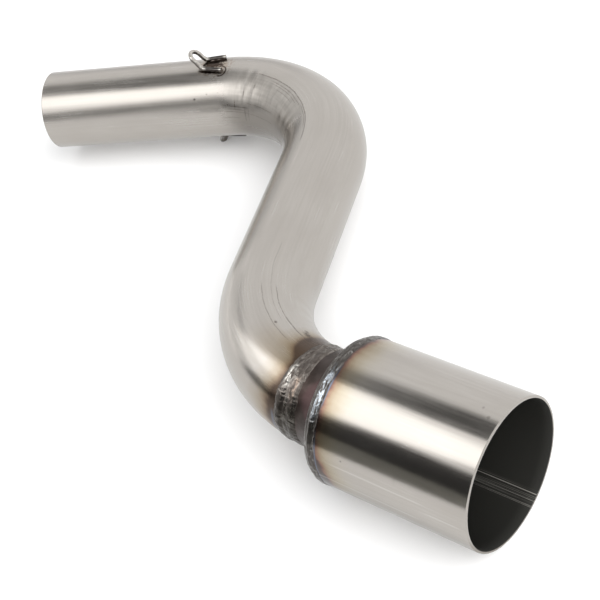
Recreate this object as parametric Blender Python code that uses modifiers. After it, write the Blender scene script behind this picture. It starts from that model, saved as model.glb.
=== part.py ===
"""Exhaust link pipe: a bent tube welded into a socket by a pressed reducer, with two spring hooks.

The socket's axis runs along X with its mouth facing +X. The bends lie in one plane, which rests
almost level: the part lies on z = 0 on its socket and its lower hook, centred over the origin.
"""
import math

import bmesh
import bpy
from mathutils import Matrix, Vector

# Driving dimensions in metres and degrees
TUBE_OD = 0.0508
TUBE_WALL = 0.0012
SOCKET_OD = 0.0762
SOCKET_WALL = 0.0015
SOCKET_LENGTH = 0.0878
FIRST_BEND_RADIUS = 0.0849
FIRST_BEND_ANGLE = 69.1
MIDDLE_STRAIGHT = 0.0990
SECOND_BEND_RADIUS = 0.0774
SECOND_BEND_ANGLE = 95.5
END_STRAIGHT = 0.1238
COLLAR_WALL = 0.0012
LIP_LENGTH = 0.0012
SHOULDER_DEPTH = 0.0034
SHOULDER_CORNER = 0.0022
SHOULDER_CORNER_SWEEP = 70.0
FLARE_RADIUS = 0.0289
FLARE_LENGTH = 0.0111
NECK_LENGTH = 0.0046
BEND_BEFORE_NECK = 0.0021
NECK_WELD_WIDTH = 0.0104
NECK_WELD_CROWN = 0.0006
SHOULDER_WELD_WIDTH = 0.0056
SHOULDER_WELD_CROWN = 0.0005
WELD_EDGE = 0.0001
WELD_RIPPLE_PITCH = 0.0050
WELD_RIPPLE_HEIGHT = 0.00025
WELD_ARCH = 0.7
WELD_RIPPLE_LAG = 1.4
WIRE_DIAMETER = 0.0029
HOOK_LEG_LENGTH = 0.0125
HOOK_REACH = 0.0090
HOOK_LOOP_RADIUS = 0.0047
HOOK_LEG_HALF_SPACING = 0.0053
HOOK_LEG_SPLAY = 0.0020
UPPER_HOOK_HEIGHT = 0.0127
LOWER_HOOK_HEIGHT = 0.0094
UPPER_HOOK_FROM_BEND = 0.0095
LOWER_HOOK_FROM_BEND = 0.0063
HOOK_WELD_LENGTH = 0.0098
HOOK_WELD_DIAMETER = 0.0017
HOOK_WELD_END_THICKNESS = 0.55
HOOK_WELD_RIPPLE = 0.14
HOOK_SLOPE_SHARE = 0.62
HOOK_SLOPE_CURVE = 1.5

# Gap kept between pieces that touch, and the rounding of the cut tube ends
SEAT_GAP = 0.0003
EDGE_CHAMFER = 0.0003

# Fineness of the round surfaces
BEND_STEP_DEGREES = 8.0
TURNED_STEPS = 56
TUBE_BEVEL_RESOLUTION = 16
WIRE_BEVEL_RESOLUTION = 3
WELD_SAMPLES_PER_RIPPLE = 3
WELD_ARC_POINTS = 5
CORNER_POINTS = 4
HOOK_SLOPE_POINTS = 3
HOOK_LOOP_STEPS = 8
HOOK_WELD_STEPS = 8

# Sizes that follow from the ones above
TUBE_RADIUS = TUBE_OD / 2
SOCKET_RADIUS = SOCKET_OD / 2
WIRE_RADIUS = WIRE_DIAMETER / 2
COLLAR_LIP_RADIUS = SOCKET_RADIUS - SOCKET_WALL / 2
COLLAR_START = SOCKET_LENGTH + SEAT_GAP
SHOULDER_START = COLLAR_START + LIP_LENGTH
FLARE_START = SHOULDER_START + SHOULDER_CORNER + SHOULDER_DEPTH
NECK_START = FLARE_START + FLARE_LENGTH
NECK_END = NECK_START + NECK_LENGTH
FIRST_BEND_START = NECK_START - BEND_BEFORE_NECK
TUBE_START = NECK_END + SEAT_GAP - FIRST_BEND_START

COLLECTION_NAME = "exhaust_link_pipe"


def clear_scene():
    for old in list(bpy.data.objects):
        bpy.data.objects.remove(old, do_unlink=True)


def make_collection():
    collection = bpy.data.collections.new(COLLECTION_NAME)
    bpy.context.scene.collection.children.link(collection)
    return collection


def steel(name, colour, roughness):
    material = bpy.data.materials.new(name)
    material.use_nodes = True
    shader = material.node_tree.nodes["Principled BSDF"]
    shader.inputs["Base Color"].default_value = (*colour, 1.0)
    shader.inputs["Roughness"].default_value = roughness
    shader.inputs["Metallic"].default_value = 1.0
    return material


def add_object(name, data, parent, material):
    piece = bpy.data.objects.new(name, data)
    piece.parent = parent
    data.materials.clear()
    data.materials.append(material)
    parent.users_collection[0].objects.link(piece)
    return piece


def add_empty(name, collection, parent=None):
    empty = bpy.data.objects.new(name, None)
    empty.parent = parent
    collection.objects.link(empty)
    return empty


def shade_round(mesh, angle=35.0):
    mesh.shade_smooth()
    mesh.set_sharp_from_angle(angle=math.radians(angle))


def evaluated_mesh(piece):
    """Take a piece as its modifiers or its curve make it, as plain welded geometry."""
    graph = bpy.context.evaluated_depsgraph_get()
    mesh = bpy.data.meshes.new_from_object(piece.evaluated_get(graph))
    shaped = bmesh.new()
    shaped.from_mesh(mesh)
    bmesh.ops.remove_doubles(shaped, verts=shaped.verts, dist=1e-6)
    shaped.to_mesh(mesh)
    shaped.free()
    return mesh


def turned_mesh(name, profile, closed, steps, parent, material):
    """Spin a profile of (x, radius) points, listed from the mouth inwards, about the socket's axis."""
    outline = bmesh.new()
    points = [outline.verts.new((x, 0.0, radius)) for x, radius in profile]
    for first, second in zip(points, points[1:]):
        outline.edges.new((first, second))
    if closed:
        outline.edges.new((points[-1], points[0]))
    mesh = bpy.data.meshes.new(name)
    outline.to_mesh(mesh)
    outline.free()
    lathe = add_object(name, mesh, parent, material)
    screw = lathe.modifiers.new("turn", "SCREW")
    screw.axis = "X"
    screw.steps = steps
    screw.render_steps = steps
    screw.use_merge_vertices = True
    screw.merge_threshold = 0.00001
    return lathe


def centreline_stretches():
    """The bent tube's runs, as (length, turn in radians, radius); a turn of zero is a straight."""
    first = math.radians(FIRST_BEND_ANGLE)
    second = math.radians(SECOND_BEND_ANGLE)
    return [
        (FIRST_BEND_RADIUS * first, -first, FIRST_BEND_RADIUS),
        (MIDDLE_STRAIGHT, 0.0, 0.0),
        (SECOND_BEND_RADIUS * second, second, SECOND_BEND_RADIUS),
        (END_STRAIGHT, 0.0, 0.0),
    ]


def centreline(distance):
    """Position and heading on the tube's centreline, at a distance from where it leaves the socket's axis."""
    point = Vector((-FIRST_BEND_START, 0.0, 0.0))
    heading = math.pi
    left = distance
    for length, turn, radius in centreline_stretches():
        step = min(left, length)
        if turn:
            side = math.copysign(1.0, turn)
            to_centre = Vector((-math.sin(heading), math.cos(heading), 0.0)) * side * radius
            swing = side * step / radius
            point = point + to_centre - Matrix.Rotation(swing, 3, "Z") @ to_centre
            heading += swing
        else:
            point = point + Vector((math.cos(heading), math.sin(heading), 0.0)) * step
        left -= step
        if left <= 0.0:
            break
    return point, heading


def tube_points():
    """The tube's centreline, as lines that touch each bend from outside, so that both ends run true."""
    points = [centreline(TUBE_START)[0]]
    start = TUBE_START
    end = 0.0
    for length, turn, radius in centreline_stretches():
        end += length
        if turn:
            parts = round(math.degrees((end - start) / radius) / BEND_STEP_DEGREES)
            step = (end - start) / parts
            bulge = radius / math.cos(step / radius / 2) - radius
            for k in range(parts):
                point, heading = centreline(start + step * (k + 0.5))
                outwards = Vector((math.sin(heading), -math.cos(heading), 0.0))
                points.append(point + outwards * math.copysign(bulge, turn))
        start = end
    points.append(centreline(end)[0])
    return points


def follow_bend(mesh):
    """Lead whatever lies past the start of the first bend round that bend."""
    for vertex in mesh.vertices:
        past = -vertex.co.x - FIRST_BEND_START
        if past > 0.0:
            swing = past / FIRST_BEND_RADIUS
            arm = FIRST_BEND_RADIUS - vertex.co.y
            vertex.co.x = -FIRST_BEND_START - arm * math.sin(swing)
            vertex.co.y = FIRST_BEND_RADIUS - arm * math.cos(swing)


def poly_curve(name, points, radius, resolution, capped, thickness=None):
    """A round bar or pipe along straight-joined points; thickness scales it point by point."""
    curve = bpy.data.curves.new(name, "CURVE")
    curve.dimensions = "3D"
    curve.twist_mode = "Z_UP"
    curve.bevel_depth = radius
    curve.bevel_resolution = resolution
    curve.use_fill_caps = capped
    spline = curve.splines.new("POLY")
    spline.points.add(len(points) - 1)
    scales = thickness or [1.0] * len(points)
    for target, point, scale in zip(spline.points, points, scales):
        target.co = (*point, 1.0)
        target.radius = scale
    return curve


def mesh_from_curve(name, curve, parent, material):
    draft = add_object(name + "_draft", curve, parent, material)
    mesh = evaluated_mesh(draft)
    bpy.data.objects.remove(draft, do_unlink=True)
    return add_object(name, mesh, parent, material)


def make_link_tube(parent, material):
    """One bent tube, open at both ends, with its wall inside the outer skin."""
    skin = poly_curve("link_tube", tube_points(), TUBE_RADIUS, TUBE_BEVEL_RESOLUTION, capped=False)
    tube = mesh_from_curve("link_tube", skin, parent, material)
    shade_round(tube.data)
    wall = tube.modifiers.new("wall", "SOLIDIFY")
    wall.thickness = TUBE_WALL
    wall.offset = -1.0
    wall.use_even_offset = True
    return tube


def make_socket_sleeve(parent, material):
    """The wide sleeve, with its mouth edges broken and its rear edge bevelled to take the weld."""
    inner = SOCKET_RADIUS - SOCKET_WALL
    weld_bevel = SHOULDER_WELD_WIDTH / 2
    profile = [
        (0.0, SOCKET_RADIUS - EDGE_CHAMFER),
        (-EDGE_CHAMFER, SOCKET_RADIUS),
        (-SOCKET_LENGTH + weld_bevel, SOCKET_RADIUS),
        (-SOCKET_LENGTH, COLLAR_LIP_RADIUS),
        (-SOCKET_LENGTH, inner),
        (-EDGE_CHAMFER, inner),
        (0.0, inner + EDGE_CHAMFER),
    ]
    sleeve = turned_mesh("socket_sleeve", profile, True, TURNED_STEPS, parent, material)
    shade_round(sleeve.data)
    return sleeve


def collar_outline():
    """Outer side of the pressed reducer: lip, rounded shoulder, flare and neck."""
    corner_r = COLLAR_LIP_RADIUS - SHOULDER_CORNER
    lip = [(-COLLAR_START, COLLAR_LIP_RADIUS)]
    corner = []
    for step in range(CORNER_POINTS):
        turn = math.radians(SHOULDER_CORNER_SWEEP) * step / (CORNER_POINTS - 1)
        across = SHOULDER_CORNER * math.sin(turn)
        down = SHOULDER_CORNER * math.cos(turn)
        corner.append((-SHOULDER_START - across, corner_r + down))
    flare = [(-FLARE_START, FLARE_RADIUS), (-NECK_START, TUBE_RADIUS)]
    neck = [(-NECK_END, TUBE_RADIUS)]
    return lip + corner + flare + neck


def outline_radius(outline, x):
    """Radius of an outline of (x, radius) points at one place along the axis."""
    for (near_x, near_r), (far_x, far_r) in zip(outline, outline[1:]):
        if far_x <= x <= near_x and near_x > far_x:
            share = (near_x - x) / (near_x - far_x)
            return near_r + (far_r - near_r) * share
    return outline[-1][1] if x < outline[-1][0] else outline[0][1]


def make_reducer_collar(parent, material):
    """The pressed reducer, its short neck meeting the tube's end where the first bend begins."""
    lathe = turned_mesh("reducer_draft", collar_outline(), False, TURNED_STEPS, parent, material)
    mesh = evaluated_mesh(lathe)
    bpy.data.objects.remove(lathe, do_unlink=True)
    follow_bend(mesh)
    shade_round(mesh, 50.0)
    collar = add_object("reducer_collar", mesh, parent, material)
    wall = collar.modifiers.new("wall", "SOLIDIFY")
    wall.thickness = COLLAR_WALL
    wall.offset = -1.0
    wall.use_even_offset = True
    return collar


def ripple(around, along, count):
    """Height of a weld's overlapping puddles: arcs that lag at the bead's edges, steep on one side."""
    lag = WELD_RIPPLE_LAG * (2.0 * along - 1.0) ** 2
    wave = (around * count / math.tau - lag) % 1.0
    return math.sin(math.pi * along) * (1.0 - wave)


def make_ring_weld(name, places, crown, bed, parent, material):
    """A weld bead round the pipe: rippled and arched on top, and seated on the bed under it.

    places are the positions along the axis where the bead's underside turns, from edge to edge.
    """
    start = places[0]
    width = start - places[-1]
    first_r = bed(start)
    last_r = bed(places[-1])
    top = []
    for step in range(WELD_ARC_POINTS + 1):
        along = step / WELD_ARC_POINTS
        rise = SEAT_GAP + WELD_EDGE + crown * math.sin(math.pi * along) ** WELD_ARCH
        top.append((start - width * along, first_r + (last_r - first_r) * along + rise))
    seat = [(x, bed(x) + SEAT_GAP) for x in reversed(places)]
    count = round(math.tau * first_r / WELD_RIPPLE_PITCH)
    lathe = turned_mesh(name + "_draft", top + seat, True, count * WELD_SAMPLES_PER_RIPPLE, parent, material)
    mesh = evaluated_mesh(lathe)
    bpy.data.objects.remove(lathe, do_unlink=True)
    for vertex in mesh.vertices:
        radius = math.hypot(vertex.co.y, vertex.co.z)
        if radius > bed(vertex.co.x) + SEAT_GAP + WELD_EDGE * 2:
            along = (start - vertex.co.x) / width
            around = math.atan2(vertex.co.y, vertex.co.z) + math.pi
            swell = 1.0 + WELD_RIPPLE_HEIGHT * ripple(around, along, count) / radius
            vertex.co.y *= swell
            vertex.co.z *= swell
    follow_bend(mesh)
    shade_round(mesh, 60.0)
    return add_object(name, mesh, parent, material)


def neck_weld_bed(_):
    """What the neck weld lies on: the collar's neck, and past its end the tube, which is as wide."""
    return TUBE_RADIUS


def shoulder_weld_bed(x):
    """What the shoulder weld lies on: the sleeve's bevelled edge, then the collar's lip and corner."""
    if x > -COLLAR_START:
        bevel = (-SOCKET_LENGTH + SHOULDER_WELD_WIDTH / 2 - x) / (SHOULDER_WELD_WIDTH / 2)
        share = min(max(bevel, 0.0), 1.0)
        return SOCKET_RADIUS + (COLLAR_LIP_RADIUS - SOCKET_RADIUS) * share
    return outline_radius(collar_outline(), x)


def make_ring_welds(parent, material):
    neck_places = [-NECK_START, -NECK_END, -NECK_START - NECK_WELD_WIDTH]
    make_ring_weld("neck_weld", neck_places, NECK_WELD_CROWN, neck_weld_bed, parent, material)
    joint = -SOCKET_LENGTH
    last = joint - SHOULDER_WELD_WIDTH / 2
    corner = -SHOULDER_START
    shoulder_places = [joint + SHOULDER_WELD_WIDTH / 2, joint, corner, (corner + last) / 2, last]
    make_ring_weld("shoulder_weld", shoulder_places, SHOULDER_WELD_CROWN, shoulder_weld_bed, parent, material)


def leg_spacing(x):
    """Half the distance between the hook's legs, which splay towards their cut ends."""
    return HOOK_LEG_HALF_SPACING + HOOK_LEG_SPLAY * min(max(-x / HOOK_LEG_LENGTH, 0.0), 1.0)


def seat_height(y, lift):
    """Height above the tube's axis of something that lies on the tube, a distance y off its crown."""
    return math.sqrt((TUBE_RADIUS + SEAT_GAP + lift) ** 2 - y * y)


def hook_side(side, height):
    """One leg of the hook, from its cut end to where the loop begins, rising off the tube in a curve."""
    base = seat_height(HOOK_LEG_HALF_SPACING, WIRE_RADIUS)
    top = TUBE_RADIUS + height - WIRE_RADIUS
    loop_start = HOOK_REACH - WIRE_RADIUS - HOOK_LOOP_RADIUS * math.cos(math.atan2(top - base, HOOK_REACH))
    points = []
    for x in (-HOOK_LEG_LENGTH, -HOOK_LEG_LENGTH / 2, 0.0):
        y = leg_spacing(x)
        points.append(Vector((x, side * y, seat_height(y, WIRE_RADIUS))))
    for step in range(1, HOOK_SLOPE_POINTS + 1):
        share = step / HOOK_SLOPE_POINTS
        x = loop_start * share
        y = HOOK_LEG_HALF_SPACING + (HOOK_LOOP_RADIUS - HOOK_LEG_HALF_SPACING) * share
        rise = (top - base) * HOOK_SLOPE_SHARE * share ** HOOK_SLOPE_CURVE
        points.append(Vector((x, side * y, base + rise)))
    return points


def hook_points(height):
    """Centre of the bent wire: one leg, the raised round loop, and the other leg."""
    right = hook_side(-1.0, height)
    left = hook_side(1.0, height)
    loop_base = (right[-1] + left[-1]) / 2
    top = TUBE_RADIUS + height - WIRE_RADIUS
    reach = Vector((HOOK_REACH - WIRE_RADIUS, 0.0, top)) - loop_base
    across = Vector((0.0, -HOOK_LOOP_RADIUS, 0.0))
    loop = []
    for step in range(1, HOOK_LOOP_STEPS):
        turn = math.pi * step / HOOK_LOOP_STEPS
        loop.append(loop_base + across * math.cos(turn) + reach * math.sin(turn))
    return right + loop + left[::-1]


def make_spring_hook(name, height, seat, material):
    wire = poly_curve(name, hook_points(height), WIRE_RADIUS, WIRE_BEVEL_RESOLUTION, capped=True)
    hook = mesh_from_curve(name, wire, seat, material)
    shade_round(hook.data, 50.0)
    return hook


def make_hook_weld(name, side, seat, material):
    """A short rippled fillet along the inner side of one leg."""
    radius = HOOK_WELD_DIAMETER / 2
    points = []
    thickness = []
    for step in range(HOOK_WELD_STEPS + 1):
        share = step / HOOK_WELD_STEPS
        x = -HOOK_LEG_LENGTH + HOOK_WELD_LENGTH * share
        y = leg_spacing(x) - WIRE_RADIUS - SEAT_GAP - radius
        points.append(Vector((x, side * y, seat_height(y, radius))))
        taper = min(1.0, HOOK_WELD_END_THICKNESS + 2.0 * min(share, 1.0 - share))
        thickness.append(taper * (1.0 - HOOK_WELD_RIPPLE * (step % 2)))
    bead = poly_curve(name, points, radius, WIRE_BEVEL_RESOLUTION, capped=True, thickness=thickness)
    weld = mesh_from_curve(name, bead, seat, material)
    shade_round(weld.data, 50.0)
    return weld


def hook_place(from_bend):
    """Where a hook's loop begins to rise, on the end straight, and the tube's heading there."""
    lengths = [length for length, _, _ in centreline_stretches()]
    return centreline(sum(lengths[:3]) + from_bend)


def make_hooks(pipe, wire_steel, weld_steel):
    """A spring hook on the top and one on the underside, near the second bend."""
    for label, from_bend, height, half_turn in (
        ("upper", UPPER_HOOK_FROM_BEND, UPPER_HOOK_HEIGHT, 0.0),
        ("lower", LOWER_HOOK_FROM_BEND, LOWER_HOOK_HEIGHT, math.pi),
    ):
        place, heading = hook_place(from_bend)
        seat = add_empty(label + "_hook_seat", pipe.users_collection[0], pipe)
        seat.matrix_local = (
            Matrix.Translation(place)
            @ Matrix.Rotation(heading, 4, "Z")
            @ Matrix.Rotation(half_turn, 4, "X")
        )
        bpy.context.view_layer.update()
        make_spring_hook(label + "_spring_hook", height, seat, wire_steel)
        for side_label, side in (("left", 1.0), ("right", -1.0)):
            make_hook_weld(f"{label}_hook_weld_{side_label}", side, seat, weld_steel)


def resting_roll():
    """Angle about the socket's axis at which the lower hook's tip comes down level with the socket."""
    place, heading = hook_place(LOWER_HOOK_FROM_BEND)
    tip_y = place.y + math.sin(heading) * HOOK_REACH
    tip_drop = TUBE_RADIUS + LOWER_HOOK_HEIGHT
    return math.asin(SOCKET_RADIUS / math.hypot(tip_y, tip_drop)) - math.atan2(tip_drop, tip_y)


def set_down(pipe):
    """Lay the whole pipe on z = 0, on its socket and its lower hook, with the origin under its middle."""
    pipe.rotation_euler.x = -resting_roll()
    bpy.context.view_layer.update()
    graph = bpy.context.evaluated_depsgraph_get()
    corners = []
    for piece in pipe.children_recursive:
        if piece.type == "MESH":
            shaped = piece.evaluated_get(graph)
            corners += [shaped.matrix_world @ vertex.co for vertex in shaped.data.vertices]
    low = [min(corner[axis] for corner in corners) for axis in range(3)]
    high = [max(corner[axis] for corner in corners) for axis in range(3)]
    pipe.location = (-(low[0] + high[0]) / 2, -(low[1] + high[1]) / 2, -low[2])
    bpy.context.view_layer.update()


def main():
    clear_scene()
    collection = make_collection()
    pipe = add_empty("pipe_axis", collection)
    satin = steel("satin stainless", (0.62, 0.60, 0.56), 0.30)
    socket_satin = steel("satin stainless socket", (0.64, 0.62, 0.58), 0.26)
    tinted = steel("heat tinted stainless", (0.20, 0.15, 0.14), 0.38)
    weld = steel("dark weld bead", (0.16, 0.145, 0.14), 0.42)
    wire = steel("bright wire", (0.55, 0.53, 0.50), 0.24)
    make_link_tube(pipe, satin)
    make_socket_sleeve(pipe, socket_satin)
    make_reducer_collar(pipe, tinted)
    make_ring_welds(pipe, weld)
    make_hooks(pipe, wire, weld)
    set_down(pipe)


main()
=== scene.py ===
"""Looks of the exhaust link pipe: stainless tube and socket, heat-tinted welds, wire hooks, studio."""

import math

import bmesh
import bpy
from mathutils import Matrix, Vector, noise


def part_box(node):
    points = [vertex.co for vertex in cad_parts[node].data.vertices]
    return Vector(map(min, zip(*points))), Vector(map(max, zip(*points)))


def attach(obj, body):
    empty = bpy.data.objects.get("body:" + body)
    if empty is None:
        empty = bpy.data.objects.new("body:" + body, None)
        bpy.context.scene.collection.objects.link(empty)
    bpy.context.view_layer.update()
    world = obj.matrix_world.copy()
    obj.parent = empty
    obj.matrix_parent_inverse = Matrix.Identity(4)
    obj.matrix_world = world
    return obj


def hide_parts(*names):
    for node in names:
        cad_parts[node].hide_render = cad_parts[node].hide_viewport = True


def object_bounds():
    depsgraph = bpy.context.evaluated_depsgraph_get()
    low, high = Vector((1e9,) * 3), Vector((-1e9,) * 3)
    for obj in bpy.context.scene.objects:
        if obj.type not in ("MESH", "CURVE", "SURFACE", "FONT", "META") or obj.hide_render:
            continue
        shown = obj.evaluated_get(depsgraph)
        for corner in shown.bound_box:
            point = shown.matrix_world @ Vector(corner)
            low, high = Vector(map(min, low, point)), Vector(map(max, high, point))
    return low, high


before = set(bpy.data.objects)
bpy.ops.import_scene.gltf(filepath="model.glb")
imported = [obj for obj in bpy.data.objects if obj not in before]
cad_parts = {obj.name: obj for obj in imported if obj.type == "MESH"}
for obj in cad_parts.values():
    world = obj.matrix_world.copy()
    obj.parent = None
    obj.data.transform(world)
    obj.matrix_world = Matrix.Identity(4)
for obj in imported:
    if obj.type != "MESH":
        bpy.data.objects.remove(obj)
cad_low, cad_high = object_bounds()

# The object's sizes in metres and degrees, as in the solid model
TUBE_RADIUS = 0.0254
TUBE_WALL = 0.0012
SOCKET_RADIUS = 0.0381
SOCKET_WALL = 0.0015
SOCKET_LENGTH = 0.0878
COLLAR_START = 0.0881
COLLAR_WALL = 0.0012
COLLAR_LIP_RADIUS = 0.03735
COLLAR_CORNER = 0.0022
SHOULDER_START = 0.0893
FLARE_START = 0.0949
FLARE_RADIUS = 0.0289
NECK_START = 0.1060
NECK_END = 0.1106
FIRST_BEND_START = 0.1039
TUBE_START = 0.1109
FIRST_BEND = (0.0849, -69.1)
MIDDLE_STRAIGHT = 0.0990
SECOND_BEND = (0.0774, 95.5)
END_STRAIGHT = 0.1238
WIRE_RADIUS = 0.00145
HOOK_LEG_LENGTH = 0.0125
HOOK_REACH = 0.0090
HOOK_LOOP_RADIUS = 0.0047
HOOK_LEG_HALF_SPACING = 0.0053
HOOK_LEG_SPLAY = 0.0020
RESTING_ROLL = 1.0407
RIM_ROUNDING = 0.0003
# Each hook as (name, distance past the second bend, height off the tube, turn round it in radians)
HOOKS = (
    ("upper", 0.0095, 0.0113, 0.0),
    ("lower", 0.0063, 0.0090, math.pi),
)

# Fineness of the meshes
TUBE_AROUND = 128
TUBE_STEP = 0.0016
INNER_STEP = 0.0060
SOCKET_AROUND = 192
WELD_AROUND = 720
WELD_ACROSS = 44
SHOULDER_ACROSS = 36
SKIN_SHARP_ANGLE = 55.0
ROD_SHARP_ANGLE = 50.0

# The camera, where the photograph was taken from
CAMERA_PLACE = (0.46578, -0.38818, 0.52411)
CAMERA_AZIMUTH = 49.263
CAMERA_TILT_DOWN = 42.353
CAMERA_ROLL = -18.026
CAMERA_LENS = 80.418
SENSOR_WIDTH = 36.0
CAMERA_NEAR = 0.01
CAMERA_FAR = 50.0

# Studio: white walls with dark gaps for the metal to reflect, a low dark card, and two soft panels
# on the left, each with the azimuth and elevation that its back points to
PANELS = (
    {"place": (-0.1473, -0.3432, 0.5920), "back": (-164.8, 24.6), "turn": 82.9,
     "size": (0.91, 0.46), "radiance": 1.30},
    {"place": (-1.3299, -0.1076, 0.0681), "back": (166.5, 54.5), "turn": 91.7,
     "size": (1.23, 1.08), "radiance": 0.91},
)
DARK_GAPS = (
    {"azimuth": -147.3, "elevation": 11.6, "half_width": 55.3, "half_height": 20.1, "tilt": 0.118,
     "feather": 3.0, "level": 0.03},
    {"azimuth": -134.0, "elevation": -17.7, "half_width": 60.0, "half_height": 11.3, "tilt": 0.78,
     "feather": 5.0, "level": 0.38},
    {"azimuth": -148.6, "elevation": 70.1, "half_width": 80.0, "half_height": 7.0, "tilt": 0.16,
     "feather": 3.0, "level": 0.05},
    {"azimuth": 140.0, "elevation": 3.0, "half_width": 17.0, "half_height": 13.0, "tilt": 0.0,
     "feather": 7.0, "level": 0.72},
)
CARD_EDGE = ((-0.060, -0.272), (0.125, -0.400))
CARD_HEIGHT = 0.09
CARD_COLOUR = (0.12, 0.12, 0.11, 1.0)
WHITE = (1.0, 1.0, 1.0, 1.0)
SKY_OVERHEAD = 1.40
SKY_NARROWNESS = 3.0
SKY_LEAN = (5.25, -1.66, 0.0)
FLOOR_SIDE = 12.0
FLOOR_COLOUR = (0.85, 0.85, 0.85, 1.0)
MIRRORED_FLOOR_COLOUR = (0.36, 0.36, 0.36, 1.0)
FLOOR_LIFT = 0.42


def mouth_place():
    """The centre of the socket's mouth, in the row frame."""
    low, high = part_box("socket_sleeve")
    return Vector((cad_high.x, (low.y + high.y) / 2, (low.z + high.z) / 2))


PIPE = Matrix.Translation(mouth_place()) @ Matrix.Rotation(-math.radians(RESTING_ROLL), 4, "X")


def stretches():
    """The centreline's runs as (length, signed turn in radians, radius), from the mouth inwards."""
    runs = [(FIRST_BEND_START, 0.0, 0.0)]
    for (radius, degrees), straight in ((FIRST_BEND, MIDDLE_STRAIGHT), (SECOND_BEND, END_STRAIGHT)):
        turn = math.radians(degrees)
        runs.append((abs(turn) * radius, turn, radius))
        runs.append((straight, 0.0, 0.0))
    return runs


PIPE_LENGTH = sum(length for length, _, _ in stretches())
SECOND_BEND_END = PIPE_LENGTH - END_STRAIGHT


def centreline(distance):
    """Position and heading on the centreline, at a distance from the mouth."""
    point = Vector((0.0, 0.0, 0.0))
    heading = math.pi
    left = distance
    for length, turn, radius in stretches():
        step = min(left, length)
        if turn:
            side = math.copysign(1.0, turn)
            to_centre = Vector((-math.sin(heading), math.cos(heading), 0.0)) * side * radius
            swing = side * step / radius
            point = point + to_centre - Matrix.Rotation(swing, 3, "Z") @ to_centre
            heading += swing
        else:
            point = point + Vector((math.cos(heading), math.sin(heading), 0.0)) * step
        left -= step
        if left <= 0.0:
            break
    return point, heading


def smooth_step(low, high, value):
    """0 below the low value, 1 above the high one, and an even curve between them."""
    share = min(max((value - low) / (high - low), 0.0), 1.0)
    return share * share * (3.0 - 2.0 * share)


def window(value, low, high, feather):
    """1 between two values, falling to 0 over the feather at both ends."""
    rise = smooth_step(low - feather, low + feather, value)
    fall = smooth_step(high - feather, high + feather, value)
    return rise * (1.0 - fall)


def even_steps(start, end, step):
    """Values from start to end, both included, about one step apart."""
    count = max(1, round(abs(end - start) / step))
    return [start + (end - start) * k / count for k in range(count + 1)]


def new_object(name, data):
    """An object in the scene, with its mesh, curve, light or camera."""
    made = bpy.data.objects.new(name, data)
    bpy.context.scene.collection.objects.link(made)
    return made


def add_piece(name, mesh, materials, stands_for):
    """Put one finished piece into the scene, in place of the model's node."""
    for material in materials:
        mesh.materials.append(material)
    piece = new_object(name, mesh)
    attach(piece, "root")
    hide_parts(stands_for)


def swept_mesh(name, rings, around, inner_from=None):
    """A closed skin along the pipe, from rings of (distance, radius at an angle) going round its section.

    Angle 0 is the pipe's own +Z, a quarter turn is the left side along the run. The attribute "run"
    keeps the straightened pipe's coordinates. Faces from ring inner_from on get the second material.
    """
    shape = bmesh.new()
    run_layer = shape.verts.layers.float_vector.new("run")
    loops = []
    for distance, radius_at in rings:
        point, heading = centreline(distance)
        left = Vector((-math.sin(heading), math.cos(heading), 0.0))
        loop = []
        for k in range(around):
            angle = math.tau * k / around
            radius = radius_at(angle)
            across = radius * math.sin(angle)
            up = radius * math.cos(angle)
            vertex = shape.verts.new(PIPE @ (point + left * across + Vector((0.0, 0.0, up))))
            vertex[run_layer] = Vector((across, up, distance))
            loop.append(vertex)
        loops.append(loop)
    for index, first in enumerate(loops):
        second = loops[(index + 1) % len(loops)]
        for k in range(around):
            after = (k + 1) % around
            face = shape.faces.new((first[k], first[after], second[after], second[k]))
            if inner_from is not None and index >= inner_from:
                face.material_index = 1
    bmesh.ops.recalc_face_normals(shape, faces=shape.faces)
    mesh = bpy.data.meshes.new(name)
    shape.to_mesh(mesh)
    shape.free()
    mesh.shade_smooth()
    mesh.set_sharp_from_angle(angle=math.radians(SKIN_SHARP_ANGLE))
    return mesh


def steady(radius):
    """The same radius at every angle."""
    return lambda angle: radius


def wave_of(distance, angle, scale, seed=0.0):
    """Smooth noise on the pipe's skin, without a seam round it."""
    place = Vector((math.cos(angle) * TUBE_RADIUS, math.sin(angle) * TUBE_RADIUS, distance))
    return noise.noise(place * scale + Vector((seed, 0.0, 0.0)))


# Bent tube: faint waves in its skin, and ripples inside the bends as
# (start, end, pitch, angle in degrees, sharpness round the tube, height)
SKIN_WAVE = 0.00004
SKIN_WAVE_SCALE = 45.0
RIPPLES = (
    (0.333, 0.361, 0.0103, 56.0, 10.0, 0.00012),
    (0.397, 0.413, 0.0080, 48.0, 4.0, 0.00016),
    (0.150, 0.176, 0.0120, -70.0, 4.0, 0.00008),
)
RIPPLE_FADE = 0.004
RIPPLE_DRIFT_SCALE = 60.0
RIPPLE_DRIFT_SEED = 7.0


def tube_skin(distance, angle):
    """Departure of the tube's skin from a true round."""
    offset = SKIN_WAVE * wave_of(distance, angle, SKIN_WAVE_SCALE)
    for start, end, pitch, middle, sharpness, height in RIPPLES:
        near = max(0.0, math.cos(angle - math.radians(middle))) ** sharpness
        crowd = window(distance, start, end, RIPPLE_FADE) * near
        drift = wave_of(distance, angle, RIPPLE_DRIFT_SCALE, RIPPLE_DRIFT_SEED)
        offset += height * crowd * math.sin(math.tau * (distance - start) / pitch + drift)
    return offset


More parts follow.
